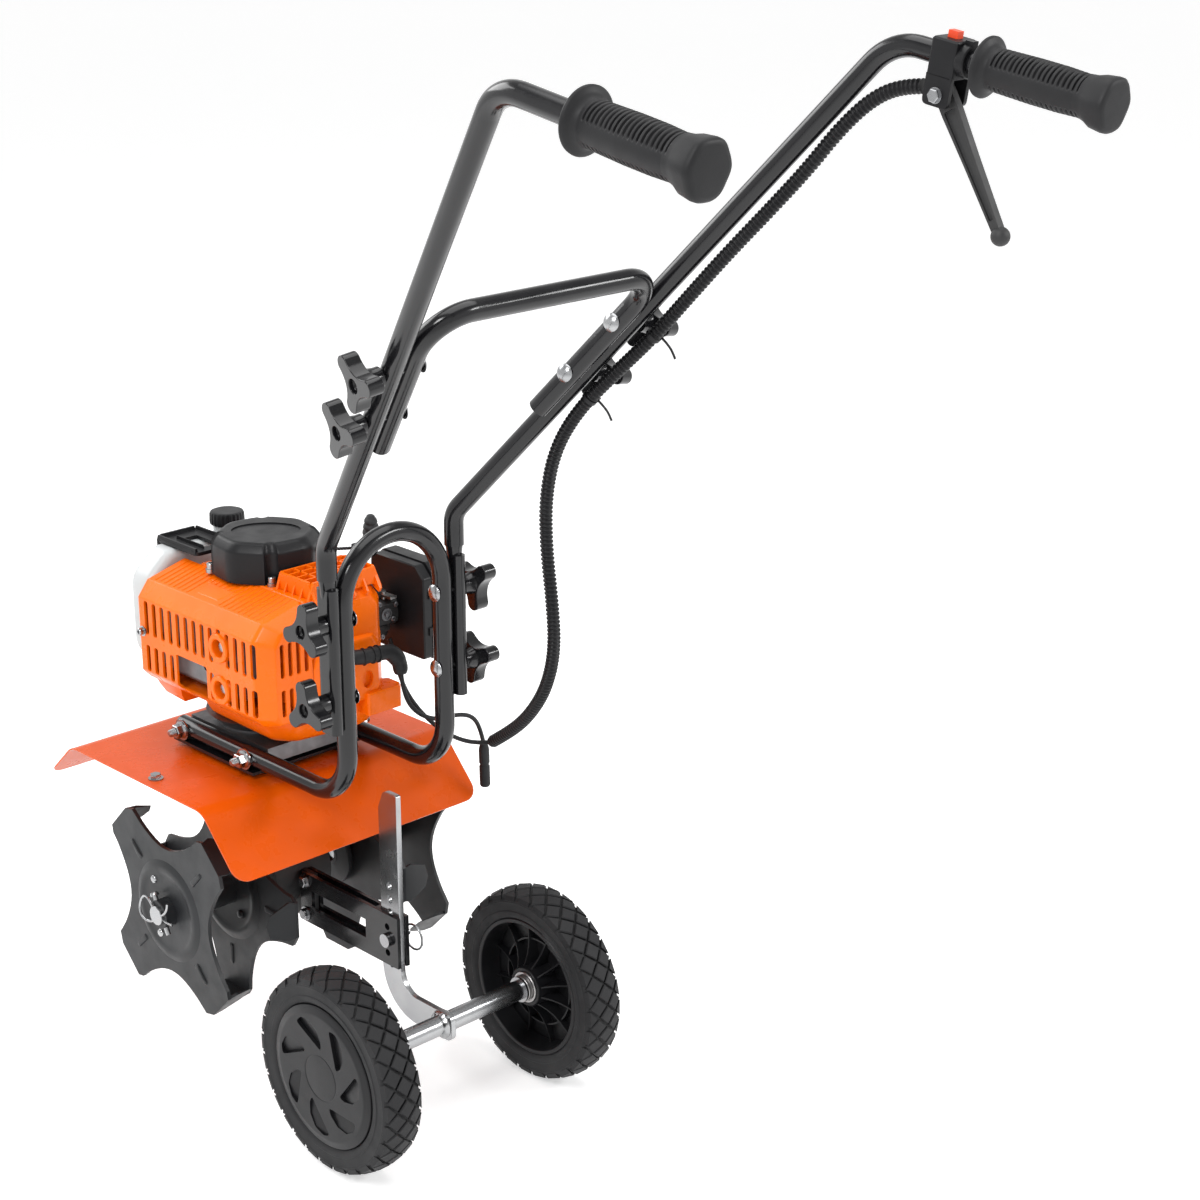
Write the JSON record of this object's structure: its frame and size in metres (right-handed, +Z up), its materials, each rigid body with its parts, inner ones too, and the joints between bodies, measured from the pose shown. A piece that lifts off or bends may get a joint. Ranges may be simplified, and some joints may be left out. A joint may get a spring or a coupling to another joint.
{
  "type": "mini tiller",
  "caption": "Two-wheeled petrol mini tiller with a finned rotor under a sheet fender, a vertical-crank engine, adjustable depth bar and spread handlebars.",
  "frame": {"origin": "on the floor under the middle of the whole machine's box, level on its two wheels", "axes": "+Z up, +Y the direction of travel, +X the operator's right"},
  "size_m": [0.4832, 0.9953, 1.0562],
  "materials": {
    "black_cast": "black painted casting",
    "black_paint": "gloss black enamel",
    "black_plastic": "matte black moulded plastic",
    "black_rubber": "soft matte rubber",
    "black_steel": "satin black enamel on pressed steel",
    "brass": "bronze gear",
    "cast": "as-cast aluminium",
    "knob_plastic": "gloss black phenolic",
    "orange_paint": "orange powder coat, semi-gloss",
    "orange_plastic": "bright orange plastic, satin",
    "red_plastic": "red-orange switch cap",
    "steel": "machined steel",
    "tyre": "solid rubber tyre",
    "white_plastic": "translucent white polyethylene",
    "zinc": "bright zinc plate",
    "zinc_cast": "die-cast zinc, dull"
  },
  "bodies": {
    "chassis": {"air_filter": "black_plastic", "carburettor": "zinc_cast", "carriage_bolts": "zinc", "clutch_housing": "cast", "crankcase": "cast", "cross_tube": "black_paint", "cylinder": "cast", "drag_bracket": "black_paint", "engine_cables": "black_rubber", "fan_case": "orange_plastic", "fender": "orange_paint", "frame_fasteners": "zinc", "fuel_tank": "white_plastic", "gearbox_halves": "black_cast", "left_grip": "black_rubber", "left_handlebar": "black_paint", "lower_frame": "black_paint", "mounting_plate": "black_paint", "muffler": "steel", "muffler_cover": "orange_plastic", "right_grip": "black_rubber", "right_handlebar": "black_paint", "shaft_bearings": "steel", "spark_plug_and_boot": "black_rubber", "starter_housing": "black_plastic", "tank_strap": "black_plastic", "throttle_perch": "black_plastic", "wiring_conduit": "black_plastic"},
    "hitch_pin": {"hitch_pin_and_ring": "zinc"},
    "wheel_carriage": {"depth_bar": "zinc", "wheel_axle": "zinc", "wheel_bearings": "steel"},
    "left_wheel": {"left_tyre": "tyre", "left_rim": "black_plastic", "left_hub_cap": "black_plastic"},
    "right_wheel": {"right_tyre": "tyre", "right_rim": "black_plastic", "right_hub_cap": "black_plastic"},
    "rotor": {"tine_shaft_and_pins": "zinc", "worm_wheel": "brass", "left_tines": "black_steel", "right_tines": "black_steel"},
    "worm": {"worm_and_drum": "steel"},
    "crank": {"crankshaft_and_shoes": "steel", "flywheel": "cast"},
    "piston": {"piston": "cast"},
    "throttle_lever": {"throttle_lever": "black_plastic"},
    "kill_switch": {"kill_switch": "red_plastic"},
    "starter_grip": {"starter_grip_and_rope": "black_plastic"},
    "starter_pulley": {"starter_pulley": "black_plastic"},
    "fuel_cap": {"fuel_cap": "black_plastic"},
    "throttle_arm": {"throttle_arm": "steel"},
    "left_lower_bar_knob": {"left_lower_bar_knob": "knob_plastic"},
    "left_lower_post_knob": {"left_lower_post_knob": "knob_plastic"},
    "left_upper_bar_knob": {"left_upper_bar_knob": "knob_plastic"},
    "left_upper_post_knob": {"left_upper_post_knob": "knob_plastic"},
    "right_lower_bar_knob": {"right_lower_bar_knob": "knob_plastic"},
    "right_lower_post_knob": {"right_lower_post_knob": "knob_plastic"},
    "right_upper_bar_knob": {"right_upper_bar_knob": "knob_plastic"},
    "right_upper_post_knob": {"right_upper_post_knob": "knob_plastic"}
  },
  "joints": [
    {"name": "depth_slide", "type": "slide", "parent": "chassis", "child": "wheel_carriage", "axis": [0, 0, 1], "range_m": [-0.056, 0.028]},
    {"name": "hitch_pin_pull", "type": "slide", "parent": "chassis", "child": "hitch_pin", "axis": [-1, 0, 0], "range_m": [0, 0.006]},
    {"name": "left_wheel_spin", "type": "hinge", "parent": "wheel_carriage", "child": "left_wheel", "pos_m": [-0.1265, 0.05558, 0.1], "axis": [1, 0, 0], "continuous": true},
    {"name": "right_wheel_spin", "type": "hinge", "parent": "wheel_carriage", "child": "right_wheel", "pos_m": [0.1265, 0.05558, 0.1], "axis": [1, 0, 0], "continuous": true},
    {"name": "rotor_spin", "type": "hinge", "parent": "chassis", "child": "rotor", "pos_m": [0, 0.30358, 0.181], "axis": [1, 0, 0], "continuous": true},
    {"name": "worm_spin", "type": "hinge", "parent": "chassis", "child": "worm", "pos_m": [0, 0.32558, 0.181], "axis": [0, 0, 1], "continuous": true},
    {"name": "crank_spin", "type": "hinge", "parent": "chassis", "child": "crank", "pos_m": [0, 0.32558, 0.4], "axis": [0, 0, 1], "continuous": true},
    {"name": "piston_stroke", "type": "slide", "parent": "chassis", "child": "piston", "axis": [0, 1, 0], "range_m": [-0.014, 0.014]},
    {"name": "left_lower_post_knob_turn", "type": "hinge", "parent": "chassis", "child": "left_lower_post_knob", "pos_m": [-0.088, 0.11358, 0.438], "axis": [-1, 0, 0], "continuous": true},
    {"name": "left_upper_post_knob_turn", "type": "hinge", "parent": "chassis", "child": "left_upper_post_knob", "pos_m": [-0.088, 0.11358, 0.514], "axis": [-1, 0, 0], "continuous": true},
    {"name": "left_lower_bar_knob_turn", "type": "hinge", "parent": "chassis", "child": "left_lower_bar_knob", "pos_m": [-0.1355, -0.01525, 0.73597], "axis": [-0.9751, 0.1456, -0.1673], "continuous": true},
    {"name": "left_upper_bar_knob_turn", "type": "hinge", "parent": "chassis", "child": "left_upper_bar_knob", "pos_m": [-0.15063, -0.05892, 0.78613], "axis": [-0.9751, 0.1456, -0.1673], "continuous": true},
    {"name": "right_lower_post_knob_turn", "type": "hinge", "parent": "chassis", "child": "right_lower_post_knob", "pos_m": [0.088, 0.11358, 0.438], "axis": [1, 0, 0], "continuous": true},
    {"name": "right_upper_post_knob_turn", "type": "hinge", "parent": "chassis", "child": "right_upper_post_knob", "pos_m": [0.088, 0.11358, 0.514], "axis": [1, 0, 0], "continuous": true},
    {"name": "right_lower_bar_knob_turn", "type": "hinge", "parent": "chassis", "child": "right_lower_bar_knob", "pos_m": [0.1355, -0.01525, 0.73597], "axis": [0.9751, 0.1456, -0.1673], "continuous": true},
    {"name": "right_upper_bar_knob_turn", "type": "hinge", "parent": "chassis", "child": "right_upper_bar_knob", "pos_m": [0.15063, -0.05892, 0.78613], "axis": [0.9751, 0.1456, -0.1673], "continuous": true},
    {"name": "throttle_squeeze", "type": "hinge", "parent": "chassis", "child": "throttle_lever", "pos_m": [0.21503, -0.33617, 1.00526], "axis": [-0.9993, -0.0384, 0], "range_deg": [0, 30], "stiffness_Nm_per_rad": 0.6, "springref_deg": -17.19},
    {"name": "throttle_arm_turn", "type": "hinge", "parent": "chassis", "child": "throttle_arm", "pos_m": [0.077, 0.22458, 0.46], "axis": [0, 0, -1], "range_deg": [0, 46]},
    {"name": "kill_switch_slide", "type": "slide", "parent": "chassis", "child": "kill_switch", "axis": [0.038, -0.9869, -0.1566], "range_m": [-0.003, 0.003]},
    {"name": "starter_pull", "type": "slide", "parent": "chassis", "child": "starter_grip", "axis": [0.84, -0.5426, 0], "range_m": [0, 0.09], "stiffness_N_per_m": 40, "springref_m": -0.02},
    {"name": "starter_pulley_turn", "type": "hinge", "parent": "chassis", "child": "starter_pulley", "pos_m": [0, 0.32558, 0.525], "axis": [0, 0, 1], "range_deg": [0, 175]},
    {"name": "fuel_cap_turn", "type": "hinge", "parent": "chassis", "child": "fuel_cap", "pos_m": [0.03, 0.41658, 0.525], "axis": [0, 0, 1], "range_deg": [0, 120]}
  ],
  "couplings": [
    {"joint": "worm_spin", "follows": "rotor_spin", "ratio": -24},
    {"joint": "throttle_arm_turn", "follows": "throttle_squeeze", "ratio": 1.5},
    {"joint": "starter_pulley_turn", "follows": "starter_pull", "rad_per_m": 32.787}
  ]
}
